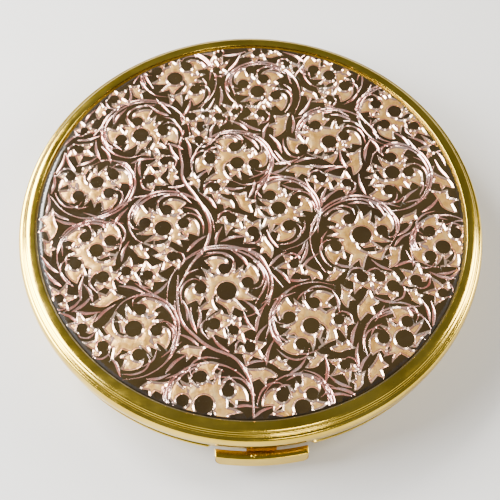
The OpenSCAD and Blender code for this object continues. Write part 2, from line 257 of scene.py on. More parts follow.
def board():
    p = Paint("grey_board")
    fibre = p.noise(1.0, 5, 0.65, vector=p.stretched((2, 9, 4), 0.2))
    colour = p.ramp(fibre, (0.3, (0.24, 0.19, 0.14)), (0.7, (0.42, 0.35, 0.27)))
    return p.set(colour=colour, rough=p.span(fibre, 0.3, 0.7, 0.75, 0.92), normal=p.bump(fibre, 0.5, 0.06))


def velour():
    p = Paint("puff_velour")
    pile = p.noise(4.0, 5, 0.7)
    tufts = p.noise(1.1, 3, 0.6, distort=0.6)
    colour = p.mix(p.span(tufts, 0.3, 0.7), (0.80, 0.62, 0.52), (0.93, 0.80, 0.71))
    return p.set(colour=colour, rough=p.span(pile, 0.3, 0.7, 0.8, 0.97), sheen=0.6, sheen_rough=0.4,
                 normal=p.bump(p.plus(pile, tufts), 0.8, 0.25))


def satin(name, light, deep, turn=0.0):
    p = Paint(name)
    thread = p.add("ShaderNodeTexWave", {"Vector": p.stretched((1, 1, 1), turn), "Scale": 3.2,
                                         "Distortion": 0.4, "Detail": 2.0}).outputs["Fac"]
    soft = p.noise(0.25, 4)
    colour = p.mix(p.span(soft, 0.3, 0.7), light, deep)
    colour = p.mix(p.times(thread, 0.18), colour, tuple(c * 0.6 for c in deep))
    return p.set(colour=colour, rough=p.span(thread, 0, 1, 0.32, 0.5), sheen=0.3,
                 normal=p.bump(thread, 0.35, 0.04))


case_gold = gilt("gilt_case", (0.86, 0.60, 0.075), (0.62, 0.41, 0.035))
inner_gold = gilt("gilt_inner", (0.95, 0.74, 0.36), (0.86, 0.61, 0.24), 0.14, 0.28, 0.22, 0.12)
ground_paint = lacquer()
shade_edge_paint = painted_shade_edge()
floor_paint = leaf_floor()
bevel_paint = cut_edge("cut_side", (0.2, (0.95, 0.50, 0.36)), (0.5, (0.97, 0.64, 0.46)),
                       (0.8, (0.99, 0.84, 0.72)))
line_paint = cut_edge("cut_line", (0.25, (0.82, 0.32, 0.26)), (0.5, (0.92, 0.52, 0.44)),
                      (0.8, (0.99, 0.86, 0.82)))
foot_paint = cut_edge("cut_foot", (0.25, (0.62, 0.13, 0.13)), (0.6, (0.80, 0.30, 0.30)),
                      (0.85, (0.92, 0.55, 0.52)))
steel_paint = plain("spring_steel", (0.8, 4), (0.50, 0.50, 0.51), (0.68, 0.67, 0.66), (2.0, 5), (0.2, 0.38),
                    (6.0, 3), (0.1, 0.01), metal=1.0)
mirror_paint = silvered_glass()
board_paint = board()
velour_paint = velour()
cover_paint = satin("puff_satin", (0.86, 0.55, 0.50), (0.74, 0.40, 0.38))
ribbon_paint = satin("ribbon_satin", (0.80, 0.36, 0.38), (0.62, 0.22, 0.26), 1.57)
net_paint = plain("sifter_net", (1.4, 4), (0.80, 0.77, 0.72), (0.93, 0.91, 0.87), (3.0, 3), (0.5, 0.7),
                  (9.0, 2), (0.3, 0.02), sheen=0.2)


# --- meshes

def piece(name, mesh, paint, body, node=None, sharp=35, kinds=None):
    """A mesh from mm points that rides on a CAD body, and may stand for a CAD node."""
    verts, faces = mesh
    data = bpy.data.meshes.new(name)
    data.from_pydata((np.asarray(verts, float) * MM).tolist(), [], faces)
    data.validate()
    for m in paint if isinstance(paint, list) else [paint]:
        data.materials.append(m)
    if kinds is not None:
        data.polygons.foreach_set("material_index", np.asarray(kinds, np.int32))
    soften(data, sharp)
    data.update()
    obj = placed(bpy.data.objects.new(name, data))
    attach(obj, body)
    if node:
        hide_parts(node)
    return obj


def placed(obj):
    bpy.context.scene.collection.objects.link(obj)
    return obj


def soften(data, sharp):
    """Smooth shading that stops at edges sharper than so many degrees."""
    data.polygons.foreach_set("use_smooth", np.full(len(data.polygons), True))
    data.set_sharp_from_angle(angle=math.radians(sharp))


def applied(obj):
    """The object's mesh with its modifiers applied."""
    done = bpy.data.meshes.new_from_object(obj.evaluated_get(bpy.context.evaluated_depsgraph_get()))
    obj.modifiers.clear()
    return done


def arc(x, y, rx, a0, a1, n=12, ry=None):
    """Points of an arc, or of an ellipse's, about (x, y)."""
    a = np.radians(np.linspace(a0, a1, n + 1))
    return [(x + rx * math.cos(t), y + (ry or rx) * math.sin(t)) for t in a]


def lathe(profile, n=360, reach=None):
    """A profile of (r, z) turned about Z. reach(angle, r, z) may move a point; r 0 is one vertex."""
    verts, rows = [], []
    for r, z in profile:
        if r < 1e-6:
            rows.append([len(verts)] * n)
            verts.append((0, 0, z))
            continue
        rows.append(list(range(len(verts), len(verts) + n)))
        for a in (2 * math.pi * k / n for k in range(n)):
            rr, zz = reach(a, r, z) if reach else (r, z)
            verts.append((rr * math.cos(a), rr * math.sin(a), zz))
    faces = []
    for p, q in zip(rows, rows[1:]):
        for k in range(n):
            m = (k + 1) % n
            corners = list(dict.fromkeys((p[k], p[m], q[m], q[k])))
            if len(corners) > 2:
                faces.append(corners)
    return verts, faces


def ended(points, step=0.5):
    """Straight stretches of a profile cut into shorter ones, so that marks and bends have points."""
    made = []
    for (r0, z0), (r1, z1) in zip(points, points[1:]):
        n = max(1, int(math.hypot(r1 - r0, z1 - z0) / step))
        made += [(r0 + (r1 - r0) * i / n, z0 + (z1 - z0) * i / n) for i in range(n)]
    return made + [points[-1]]


def bands(rows, n, order=(0, 1, 2, 3), caps=0):
    """Quads between neighbouring rings of n points. caps closes both ends: 1, or -1 for the other turn."""
    faces = []
    for i in range(rows - 1):
        for k in range(n):
            m = (k + 1) % n
            quad = (i * n + k, (i + 1) * n + k, (i + 1) * n + m, i * n + m)
            faces.append([quad[o] for o in order])
    if caps:
        faces += [list(range(n))[::caps], list(range((rows - 1) * n, rows * n))[::-caps]]
    return faces


def slab(layers, rows, cols):
    """Faces of layers of gridded points: the first and last layer, and the walls round their edges."""
    size = rows * cols
    first = [[c, c + 1, c + cols + 1, c + cols] for j in range(rows - 1)
             for c in range(j * cols, j * cols + cols - 1)]
    last = (layers - 1) * size
    edge = list(range(cols - 1)) + [j * cols + cols - 1 for j in range(rows - 1)]
    edge += [size - 1 - i for i in range(cols - 1)] + [(rows - 1 - j) * cols for j in range(rows - 1)]
    walls = [[base + b, base + a, base + size + a, base + size + b] for base in range(0, last, size)
             for a, b in zip(edge, edge[1:] + edge[:1])]
    return first + [[last + v for v in face[::-1]] for face in first] + walls


def tube(path, radius, sides):
    """A round wire along mm points."""
    p = np.asarray(path, float)
    verts = []
    for c, t in zip(p, np.gradient(p, axis=0)):
        t = t / np.linalg.norm(t)
        u = np.cross((0.13, 0.21, 0.97), t)
        u /= np.linalg.norm(u)
        v = np.cross(t, u)
        for a in (2 * math.pi * k / sides for k in range(sides)):
            verts.append(c + radius * (math.cos(a) * u + math.sin(a) * v))
    return verts, bands(len(p), sides, (0, 3, 2, 1), -1)


def joined(*meshes):
    verts, faces = [], []
    for v, f in meshes:
        base = len(verts)
        verts += [tuple(x) for x in v]
        faces += [[base + i for i in face] for face in f]
    return verts, faces


def carve(obj, low, high):
    """Cuts a box, given by its lowest and highest corner in mm, out of a mesh."""
    bpy.ops.mesh.primitive_cube_add(size=1)
    tool = bpy.context.object
    tool.scale = [(h - l) * MM for l, h in zip(low, high)]
    tool.location = [(h + l) / 2 * MM for l, h in zip(low, high)]
    cut = obj.modifiers.new("cut", "BOOLEAN")
    cut.operation, cut.solver, cut.object = "DIFFERENCE", "EXACT", tool
    bpy.context.view_layer.update()
    obj.data = applied(obj)
    bpy.data.objects.remove(tool)
    soften(obj.data, 35)


def finish_node(name, paint, bevel):
    """A CAD node that is shown as it is, with its edges broken by a bevel modifier."""
    o = frame["nodes"][name]
    o.data.materials.clear()
    o.data.materials.append(paint)
    edge = o.modifiers.new("edge", "BEVEL")
    edge.width, edge.segments, edge.angle_limit = bevel * MM, 2, math.radians(40)
    edge.limit_method = "ANGLE"


# --- the case

def notched(a, r, z):
    """The lid's wall is cut back behind the hinge."""
    x, y = r * math.cos(a), r * math.sin(a)
    if y > 0 and abs(x) < NOTCH_HALF and z < BEAD_Z + 1.7:
        return min(r, BASE_WALL_R), z
    return r, z


lid_profile = (
    ended([(WALL_R, LIP_Z), (OPENING_R, LIP_Z)], 0.4)
    + arc(OPENING_R + 0.12, TOP - 0.12, 0.12, 180, 90, 6)
    + arc(OPENING_R + 0.65, TOP - 0.55, 39.6 - OPENING_R - 0.65, 90, 12, 22, 0.55)
    + arc(39.62, TOP - 0.68, 0.24, 75, -50, 10, 0.2)
    + arc(40.17, TOP - 1.02, 0.16, 175, 275, 9)
    + arc(CASE_R - 0.75, BEAD_Z, 0.75, 78, -32, 26, 1.82)
    + ended([(CASE_R - 0.3, LID_EDGE_Z), (WALL_R, LID_EDGE_Z), (WALL_R, LIP_Z)], 0.4)
)
piece("lid_rim", lathe(lid_profile, 720, notched), case_gold, "lid", "lid_shell")

grooves = (12.25, 22.25, 31.25)      # turned into the underside
radii = [g + d for g in grooves for d in np.linspace(-0.5, 0.5, 9)]
radii = sorted(radii + list(np.arange(0, FOOT_R + 0.1, 2)))
base_profile = [(r, 0.12 * math.exp(-(min(abs(r - g) for g in grooves) / 0.16) ** 2)) for r in radii]
dish = BASE_WALL_R - FOOT_R
wall = arc(FOOT_R, dish, dish, -90, -1.5, 48)
for r, z in wall:
    swell = 0.6 ** 2 - (z - 5.5) ** 2
    base_profile.append((max(r, BASE_WALL_R - 0.1 + math.sqrt(swell)) if swell > 0 else r, z))
base_profile += [(BASE_WALL_R, 6.0), (BASE_WALL_R, 6.15)]
base_profile += ended([(BASE_WALL_R, 6.2), (BASE_WALL_R, SEAM_Z - 0.08)], 0.4)
base_profile += arc(BASE_WALL_R - 0.08, SEAM_Z - 0.08, 0.08, 0, 90, 4)
base_profile += [(SEAT_R, SEAM_Z), (SEAT_R, DECK_Z - 0.4)]
base_profile += arc(FOOT_R, dish, dish - SHEET_T, 0, -90, 24)
base_profile += ended([(FOOT_R, SHEET_T), (0, SHEET_T)], 1.0)


def bead_gaps(a, r, z):
    """The base's bead stops at the hinge and at the catch."""
    x, y = r * math.cos(a), r * math.sin(a)
    if r > BASE_WALL_R and abs(x) < (NOTCH_HALF if y > 0 else 8.6):
        return BASE_WALL_R, z
    return r, z


base = piece("base_dish", lathe(base_profile, 520, bead_gaps), case_gold, "base", "base_shell")
carve(base, (-2.75, -41.5, 3.95), (2.75, -36.5, 5.65))


# --- the engraving

def pol(c, a, r):
    """The point at an angle in degrees and a distance from c."""
    a = math.radians(a)
    return (c[0] + r * math.cos(a), c[1] + r * math.sin(a))


def bow(p, q, k, n=7):
    """Points from p towards q, q left out, bowed to the left by k of the length."""
    t = np.arange(n) / n
    p, q = np.array(p, float), np.array(q, float)
    d = q - p
    normal = np.array([-d[1], d[0]])
    return p + t[:, None] * d + (4 * k * t * (1 - t))[:, None] * normal


def outline(corners):
    """A closed outline from (point, bow of the edge that leaves it)."""
    rows = []
    for i, (p, k) in enumerate(corners):
        q = corners[(i + 1) % len(corners)][0]
        rows.append(bow(p, q, k) if k else np.array([p], float))
    return np.concatenate(rows)


def smooth(points, n=8):
    """A Catmull-Rom curve through points."""
    p = np.array(points, float)
    p = np.vstack([2 * p[0] - p[1], p, 2 * p[-1] - p[-2]])
    t = (np.arange(n) / n)[:, None]
    rows = []
    for a, b, c, d in zip(p, p[1:], p[2:], p[3:]):
        rows.append(0.5 * (2 * b + (c - a) * t + (2 * a - 5 * b + 4 * c - d) * t**2
                           + (3 * b - a - 3 * c + d) * t**3))
    return np.vstack(rows + [p[-2:-1]])


class Relief:
    """The engraving in mm: leaves with a flat floor, dots left standing in them, and V-cut lines."""

    def __init__(self):
        self.leaves, self.dots, self.strokes = [], [], []

    def leaf(self, corners):
        self.leaves.append(outline(corners))

    def dot(self, c, r):
        self.dots.append((c, r))

    def stroke(self, points, width, fat=0.5, blunt=0.12):
        """A tapered line; its widest part sits at `fat` of its length."""
        c = smooth(points)
        s = np.concatenate([[0], np.cumsum(np.hypot(*np.diff(c, axis=0).T))])
        s /= s[-1]
        u = np.where(s < fat, s / fat, (1 - s) / (1 - fat))
        self.strokes.append((c, width * (blunt + (1 - blunt) * np.sin(np.pi / 2 * u))))


LOBE_DOT_R = 1.08
FAR = 9.0                # a distance beyond every reach


def lobe(R, c, r, out, s):
    """A crescent over a small dot: two teeth at its tail, a round back, and a hooked tip."""
    def at(a, d):
        return pol(c, out + s * a, d * r)

    R.leaf([(at(170, 0.85), 0), (at(122, 1.5), -0.04 * s), (at(96, 3.0), 0.05 * s), (at(80, 2.1), -0.05 * s),
            (at(61, 3.5), 0.1 * s), (at(14, 2.3), 0.16 * s), (at(-44, 1.12), 0), (at(-15, 0.6), 0),
            (at(70, 0.6), 0)])
    R.dot(c, r)
    R.stroke([at(52, 4.0), at(22, 3.2), at(-12, 2.65), at(-48, 2.05), at(-85, 1.3)], 0.15, 0.45)


def sprig(R, c, r, gap, s):
    """A leaf curled round a dot, open at one side, with teeth around it."""
    teeth = ((64, 3.0), (122, 3.7), (182, 3.5), (238, 3.0))

    def at(a, d):
        return pol(c, gap + s * a, d)

    shape = [(at(20, r * 0.96), 0), (at(34, r * 1.75), 0.05 * s)]
    for k, (a, d) in enumerate(teeth):
        b = a + (teeth[k + 1][0] - a) * 0.42 if k + 1 < len(teeth) else a + 24
        shape += [(at(a, d), 0.06 * s), (at(b, r * 1.7), -0.03 * s)]
    shape += [(at(a, r * d), 0) for a, d in ((-42, 1.2), (-46, 0.9), (250, 0.5), (180, 0.5), (110, 0.5))]
    R.leaf(shape)
    R.dot(c, r)
    R.stroke([at(a, r * d) for a, d in ((62, 2.6), (20, 2.2), (-20, 1.7), (-55, 1.15))], 0.15, 0.4)


def rosette(R, c, r, s, tip, dots, ring):
    """A scroll: a toothed band that winds round a big dot, a lobe at each small dot, a hook leaf inside."""
    c = np.array(c, float)
    away = [np.array(d, float) - c for d in dots]
    a = [math.degrees(math.atan2(s * v[1], v[0])) for v in away]
    rad = [math.hypot(*v) for v in away]
    for k in range(1, len(a)):
        a[k] = a[k - 1] - ((a[k - 1] - a[k]) % 360)
    end = a[-1] - ((a[-1] - s * tip) % 360)

    def at(f, d):
        return (c[0] + d * math.cos(math.radians(f)), c[1] + s * d * math.sin(math.radians(f)))

    span = end - a[-1]
    join, hook = a[-1] + 0.34 * span, a[-1] + 0.365 * span
    merge = end + 101
    while merge > a[0] - 95 and merge > end + 60:
        merge -= 10
    first = a[0] + min(58, (merge + 360 - a[0]) * 0.5)
    body = [(at(merge, 3.0 * r), -0.06 * s), (at((merge + 360 + first) / 2 + 4, 3.4 * r), 0.08 * s)]
    for i, f in enumerate(a):
        gap = (a[i - 1] if i else a[0] + 88) - f
        d = (rad[i] + rad[max(i - 1, 0)]) / 2
        body += [(at(f + p * gap, q * d), b * s) for p, q, b in (
            (0.86, 0.80, -0.04), (0.72, 1.42, 0.06), (0.64, 0.97, -0.04), (0.50, 1.44, 0.06), (0.42, 0.86, 0))]
        body += [(at(f, rad[i]), 0), (at(f - 9, rad[i] * 1.02), 0.1 * s)]
    body += [(at(a[-1] + 0.14 * span, 2.0 * r), -0.04 * s), (at(a[-1] + 0.2 * span, 3.2 * r), 0.06 * s),
             (at(join, 1.3 * r), 0), (at(join, 0.9 * r), 0), (at(join + 150, 0.2 * r), 0)]
    opening = end + 360 + 8
    for k in range(10):
        u = k / 9
        body.append((at(opening + u * (merge + 360 - opening), r * (1.02 + 1.72 * u ** 0.75)), 0))
    R.leaf(body)
    R.leaf([(at(join, 0.8 * r), 0), (at(hook, 2.95 * r), 0.06 * s),
            (at(a[-1] + 0.46 * span, 1.85 * r), -0.03 * s),
            (at(a[-1] + 0.53 * span, 2.75 * r), 0.08 * s), (at(end + 84, 1.9 * r), -0.02 * s),
            (at(end + 42, 1.5 * r), 0.02 * s), (at(end, 0.95 * r), 0), (at(end + 40, 0.8 * r), 0),
            (at(end + 80, 0.8 * r), 0)])
    R.dot(tuple(c), r)
    for f, v in zip(a, dots):
        lobe(R, v, LOBE_DOT_R, s * f, s)
    a0 = a[0] + 22
    for first, last, out, wide in ((0, 0, 1.0, 0.18), (-40, 60, 0.93, 0.15)):
        points = []
        for n in range(11):
            f = a0 + first + (merge + last - a0 - first) * n / 10
            u = max(0, (merge + 100 - f) / 100)
            flare = 1 + 0.3 * (1 - n / 10) ** 2.5
            points.append(at(f, ring * out * flare - (ring * out - 3.0 * r) * u ** 1.3))
        if a0 + first - merge - last > 40:
            R.stroke(points, wide, 0.7, 0.15)
    R.stroke([at(merge + 118, ring * 0.99), at(merge + 88, ring * 0.88), at(merge + 45, 3.1 * r)], 0.16, 0.45)
    for k, f in enumerate(range(int(a0) - 24, int(merge) + 70, -27)):
        end_r, bend = (0.79, 0.93) if k % 2 == 0 else (1.2, 1.05)
        R.stroke([at(f, ring), at(f - 17, ring * bend), at(f - 32, ring * end_r)], 0.14, 0.5)


def to_segment(q, p0, p1):
    """Distance from points to a segment and the share of it passed there, or None if it has no length."""
    e = p1 - p0
    size = e @ e
    if size < 1e-12:
        return None
    t = np.clip(((q - p0) @ e) / size, 0, 1)
    return np.hypot(*(q - p0 - t[:, None] * e).T), t


def evaluate(R, x, y, reach=1.0):
    """Distances from points to the leaves and to the lines: negative inside, FAR beyond reach."""
    leaf, line = np.full(x.shape, FAR), np.full(x.shape, FAR)
    P = np.stack([x, y], -1)

    def window(lo, hi, m=reach):
        return np.nonzero((x > lo[0] - m) & (x < hi[0] + m) & (y > lo[1] - m) & (y < hi[1] + m))

    for o in R.leaves:
        w = window(o.min(0), o.max(0))
        q = P[w]
        d, inside = np.full(len(q), FAR), np.zeros(len(q), bool)
        for p0, p1 in zip(o, np.roll(o, -1, 0)):
            near = to_segment(q, p0, p1)
            if near is None:
                continue
            d = np.minimum(d, near[0])
            e = p1 - p0
            if abs(e[1]) > 1e-12:
                crosses = (p0[1] > q[:, 1]) != (p1[1] > q[:, 1])
                inside ^= crosses & (q[:, 0] < p0[0] + e[0] * (q[:, 1] - p0[1]) / e[1])
        leaf[w] = np.minimum(leaf[w], np.where(inside, -d, d))
    for c, hw in R.strokes:
        w = window(c.min(0), c.max(0))
        q = P[w]
        d = line[w]
        for p0, p1, w0, w1 in zip(c, c[1:], hw, hw[1:]):
            near = to_segment(q, p0, p1)
            if near is not None:
                d = np.minimum(d, near[0] - (w0 + (w1 - w0) * near[1]))
        line[w] = d
    for c, r in R.dots:
        for field, margin, wide in ((leaf, 2.0, r), (line, reach, r + 0.15)):
            w = window(np.array(c) - r, np.array(c) + r, margin)
            field[w] = np.maximum(field[w], wide - np.hypot(x[w] - c[0], y[w] - c[1]))
    return leaf, line


def fill_gaps(R):
    """Small curled lines and shards wherever the ground is still wide."""
    half, cell, reach, narrow = 37.5, 0.25, 2.6, 0.85
    n = int(2 * half / cell) + 1
    grid = np.linspace(-half, half, n)
    gx, gy = (g.ravel() for g in np.meshgrid(grid, grid))
    free = np.minimum(*evaluate(R, gx, gy, reach))
    free = np.minimum(np.minimum(free, 2.4), 37.3 - np.hypot(gx, gy))
    for c, r in R.dots:
        free[np.hypot(gx - c[0], gy - c[1]) < r + 0.3] = 0

    def clear(px, py):
        i, j = (np.clip(np.rint((v + half) / cell).astype(int), 0, n - 1) for v in (py, px))
        return free[i * n + j]

    for turn in range(260):
        k = int(np.argmax(free))
        if free[k] < narrow:
            break
        c, best = (gx[k], gy[k]), None
        for a in range(0, 180, 15):
            t = np.linspace(-1.9, 1.9, 9)
            worst = clear(c[0] + t * math.cos(math.radians(a)), c[1] + t * math.sin(math.radians(a)))
            score = worst.mean() + worst.min()
            if best is None or score > best[0]:
                best = (score, a)
        a, wide = best[1], free[k]
        flip = 1 if turn % 2 else -1
        before = len(R.leaves), len(R.strokes)
        if wide > 1.5:
            tip, heel = pol(c, a, wide * 1.5), pol(c, a + 180, wide * 1.25)
            edge = [(pol(c, a - q * flip, wide * d), b * flip) for q, d, b in
                    ((28, 0.95, 0.03), (62, 1.15, -0.06), (84, 0.55, 0.03), (122, 1.15, -0.06), (146, 0.6, 0))]
            R.leaf([(heel, 0.1 * flip), (pol(c, a + 100 * flip, wide * 0.45), -0.06 * flip), (tip, 0.0)] + edge)
        else:
            arm = min(2.3, 1.1 + wide)
            side = pol((0, 0), a + 90, 0.35 * flip)
            R.stroke([pol(c, a + 180, arm), (c[0] + side[0], c[1] + side[1]), pol(c, a, arm)],
                     min(0.27, 0.12 + 0.12 * wide), 0.35)
        near = np.nonzero(np.hypot(gx - c[0], gy - c[1]) < 6)[0]
        added = Relief()
        added.leaves, added.strokes = R.leaves[before[0]:], R.strokes[before[1]:]
        free[near] = np.minimum(free[near], np.minimum(*evaluate(added, gx[near], gy[near], reach)))
        free[k] = min(free[k], 0)
        free[np.hypot(gx - c[0], gy - c[1]) < 0.5] = 0


def engraving():
    """Scrolls, curled leaves between them and the stems that join them, as laid out on the panel."""
    R = Relief()
    # centre, big dot's radius, sense, hook direction, radius of the stem's ring, small dots along the scroll
    for x, y, r, s, tip, ring, *dots in (
        (-3.9, -15, 1.75, 1, 188, 8, -8.3, -14.6, -4.4, -10.8, -0.4, -13.3),
        (19.3, -3.7, 1.75, 1, 236, 7.6, 14.8, -6, 17.2, -0.6, 22.9, -2.7),
        (4.8, 1.4, 1.35, -1, -87, 6.6, 6.6, -2.1, 7.7, 2.8, 3.3, 4),
        (-20.5, 16.4, 1.5, -1, 15, 7.2, -16.4, 17.4, -21.3, 19.4, -24, 15.4),
        (0.8, 26.8, 1.4, -1, -20, 6.6, 4.2, 26, 1.9, 29.8, -1.9, 28.5),
        (14.4, 30.9, 1.2, -1, -20, 5.4, 17.2, 28.4, 16, 33, 11.4, 32.2),
        (26.4, 22.8, 1.3, 1, 268, 6.2, 24.4, 19.8, 23, 24.4, 26.8, 26.9),
        (-14.9, 29.5, 1.5, -1, 0, 6.6, -10.9, 27, -12.8, 32.4, -18.4, 31.2),
        (-2.7, 10.7, 1.3, 1, 157, 6.4, -7.6, 11.4, -3.3, 14.2, 0.4, 10.6),
        (14.1, 15.7, 1.45, -1, -30, 6.8, 16.8, 17.1, 11.6, 19.3, 9.2, 14.1),
        (-27.6, 6.1, 1.25, -1, 207, 6.6, -30.7, 3.2, -25.3, 3.9, -24.8, 7.7),
        (25.3, 9.3, 1.4, -1, 257, 6.6, 24.5, 5.6, 28.2, 9.5, 25.2, 12.5),
        (-15.3, -3.1, 1.5, -1, -34, 7, -11.8, -2, -14.9, 0.6, -18.5, -2.1),
        (-26.5, -7.7, 1.3, 1, 256, 5.8, -29.8, -10.4, -28.6, -5.1, -24.3, -5.7),
        (-19.1, -22.2, 1.5, -1, 239, 7, -18, -26.8, -15.3, -22.4, -18.2, -18.7),
        (10.3, -21.1, 1.45, -1, 27, 6.6, 10.8, -16.9, 6.7, -19.6, 8.7, -24.4),
        (33.3, -5.8, 1.35, -1, 0, 5.6, 35.8, -3, 31.2, -2.7, 31, -7.6),
        (25.7, -23.1, 1.6, 1, -80, 5.6, 22.2, -23, 26.3, -20),
        (-7, -35.1, 1.6, -1, -20, 6.4, -3.2, -32.7, -7.7, -30.4, -10.4, -34.5),
        (8.8, -35.3, 1.4, 1, 200, 5.2, 5.5, -33.4, 10.3, -33),
    ):
        rosette(R, (x, y), r, s, tip, list(zip(dots[::2], dots[1::2])), ring)
    # curled leaves: dot, its radius, open side, sense
    for x, y, r, gap, s in (
        (-31.4, 13, 0.9, 155, 1), (-26, 24.4, 0.95, 225, 1), (-30.9, 17.2, 0.75, 235, -1),
        (-7.1, 31.7, 0.8, 285, 1), (-6.8, 35.3, 0.7, 55, 1), (6.3, 33.4, 0.75, 120, 1),
        (14.3, 25.5, 0.8, 315, -1), (33.1, 14.7, 0.8, 5, 1), (-11.3, 20.8, 0.9, 165, 1),
        (-8.6, 21.3, 0.7, 155, 1), (-6.4, 20.9, 0.85, 340, -1), (-3.4, 22, 0.75, 25, 1),
        (1.5, 21.8, 0.95, 325, -1), (12.5, 7.8, 1, 130, 1), (17, 6.9, 0.9, 330, -1), (-18.2, 7, 1, 220, 1),
        (-15.8, 10.9, 0.95, 20, -1), (-6.4, 5.5, 0.9, 155, 1), (-3.4, -0.9, 1, 135, 1),
        (0.4, -3.4, 1.05, 300, -1), (-17.4, -12.3, 1, 225, 1), (-13.4, -8.6, 1, 0, -1),
        (-21.1, -11.6, 0.95, 205, 1), (-25, -12.8, 1.15, 195, 1), (-5.8, -21.1, 1.1, 190, 1),
        (-2.5, -22.2, 0.9, 130, -1), (0.2, -25.1, 1, 140, 1), (7.5, -9.6, 0.9, 75, 1),
        (14.9, -19.9, 0.95, 50, -1), (15.7, -27.9, 0.9, 40, -1), (0.5, 36, 0.85, 80, 1),
        (22.1, -11.8, 1, 130, 1), (19.1, -11.9, 1.05, 125, 1), (24.3, -13.5, 1.15, 325, -1),
        (28.2, -12.3, 1.05, 320, 1), (-27.6, -22.3, 0.95, 290, 1), (-32.4, 7.2, 0.95, 115, 1),
        (29.9, 19.6, 0.95, 200, 1), (-23.9, -25.4, 1, 290, -1), (31.2, 26, 0.8, 60, 1),
        (-32, -17, 0.9, 250, 1), (32.6, -14.6, 0.9, 0, 1), (-9.8, 15.6, 0.9, 300, 1),
    ):
        sprig(R, (x, y), r, gap, s)
    # long stems: half width, points
    for wide, *path in (
        (0.25, 1, -37.4, 0.6, -32.3, -0.6, -29.2, -2.5, -26.9, -6.1, -25.4, -8.6, -23.6, -11.2, -20.8,
         -12.1, -16.7, -12.2, -12.3),
        (0.25, -12.1, -15, -10, -10, -8, -7.2, -7.1, -3.8, -7.7, -0.3, -9.8, 3.3, -12.3, 7.1, -12.6, 10.3,
         -13.3, 14, -12.6, 17.5),
        (0.2, -8, -7.2, -5.4, -6.8, -1.5, -6.8, 1.5, -8.1, 3.1, -10.9, 3.8, -13.9, 3.2, -17.5),
    ):
        R.stroke(list(zip(path[::2], path[1::2])), wide, 0.5, 0.4)
    fill_gaps(R)
    return R


# --- the relief as a mesh

BEVEL_W = 0.27
FOOT_W = 0.37
DEPTH = 0.23
STEP = 0.09


def level_line(field, level, x, y):
    """Points and pairs of the line where a gridded field passes a level."""
    below = field < level
    ids, found, n = [], [], 0
    for before, after, step in (((slice(None), slice(-1)), (slice(None), slice(1, None)), (STEP, 0)),
                                ((slice(-1),), (slice(1, None),), (0, STEP))):
        hit = below[before] != below[after]
        own = np.full(hit.shape, -1)
        own[hit] = n + np.arange(int(hit.sum()))
        ids.append(own)
        n += int(hit.sum())
        low, high = field[before][hit], field[after][hit]
        t = (level - low) / (high - low)
        found.append(np.stack([x[before][hit] + t * step[0], y[before][hit] + t * step[1]], 1))
    ids_a, ids_b = ids
    sides = np.stack([ids_a[:-1], ids_b[:, :-1], ids_a[1:], ids_b[:, 1:]], -1).reshape(-1, 4)
    count = (sides >= 0).sum(1)
    two = np.sort(sides[count == 2], 1)[:, 2:]
    four = sides[count == 4]
    return np.vstack(found), np.vstack([two, four[:, :2], four[:, 2:]])


def panel_surface(r):
    """Height of the panel's uncut surface."""
    z = PANEL_TOP + 0.06 * (1 - (r / ROLL_START) ** 2)
    u = np.clip((r - ROLL_START) / (ROLL_END - ROLL_START), 0, 1)
    return np.where(r < ROLL_START, z, LIP_Z + (PANEL_TOP - LIP_Z) * np.sqrt(np.clip(1 - u * u, 0, 1)))


def wander(x, y, size, seed):
    """A smooth random height, made of a few waves."""
    own = np.random.default_rng(seed)
    total = 0
    for _ in range(7):
        a, s, f = own.uniform(0, math.pi), own.uniform(0.6, 1.6), own.uniform(0, 6.28)
        total = total + np.sin((x * math.cos(a) + y * math.sin(a)) * 6.283 / (size * s) + f)
    return total / 7


CUT_R = 37.2               # nothing is cut beyond it
DULL_SHADED_R = 36.95             # uncut ground beyond it is duller and painted darker, as shade under the frame
EDGE_ZONE_R = 35.6         # points stand closer beyond it
MERGE = 0.018              # points nearer than this become one
RING_STEPS = 720


